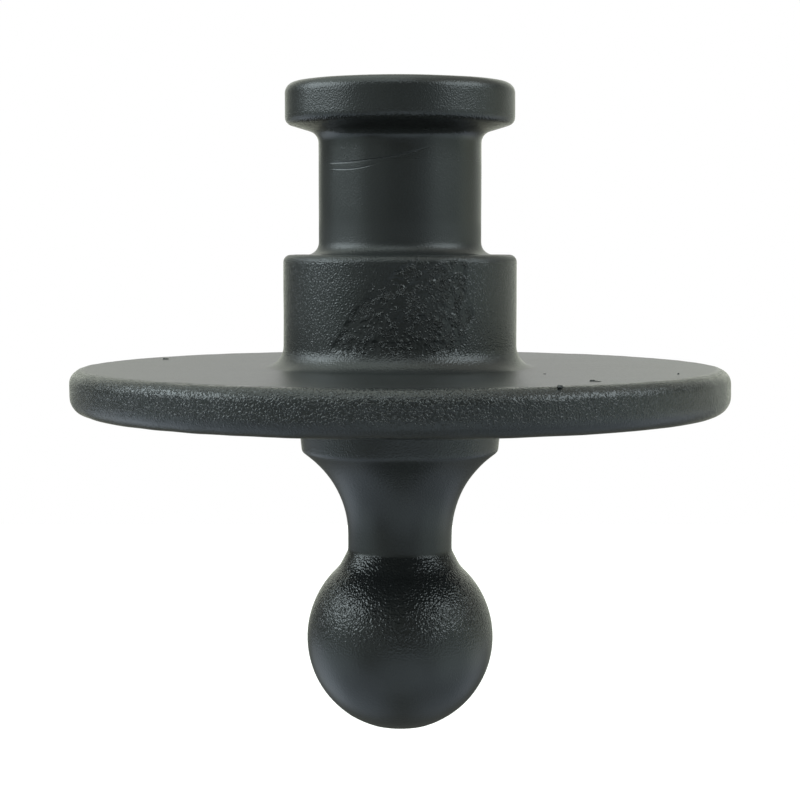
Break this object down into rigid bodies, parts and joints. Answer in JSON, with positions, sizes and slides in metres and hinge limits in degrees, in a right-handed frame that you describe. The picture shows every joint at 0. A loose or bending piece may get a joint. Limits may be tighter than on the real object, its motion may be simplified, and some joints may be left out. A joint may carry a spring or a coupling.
{
  "type": "gooseneck ball adapter",
  "caption": "Forged tow hitch adapter: a flanged king pin with a collar rises from a round plate, with a waisted shank and a hitch ball on the plate's other side.",
  "frame": {"origin": "centre of the plate's face on the king pin's side, on the axis", "axes": "+Z along the axis from the plate towards the king pin's end; the ball hangs towards -Z, as in the picture; the piece is round, so +X and +Y are free"},
  "size_m": [0.2056, 0.2056, 0.2017],
  "materials": {
    "painted_forged_steel": "satin dark grey paint over a forged and part-turned steel surface"
  },
  "bodies": {
    "root": {"forged_adapter": "painted_forged_steel"}
  },
  "joints": []
}
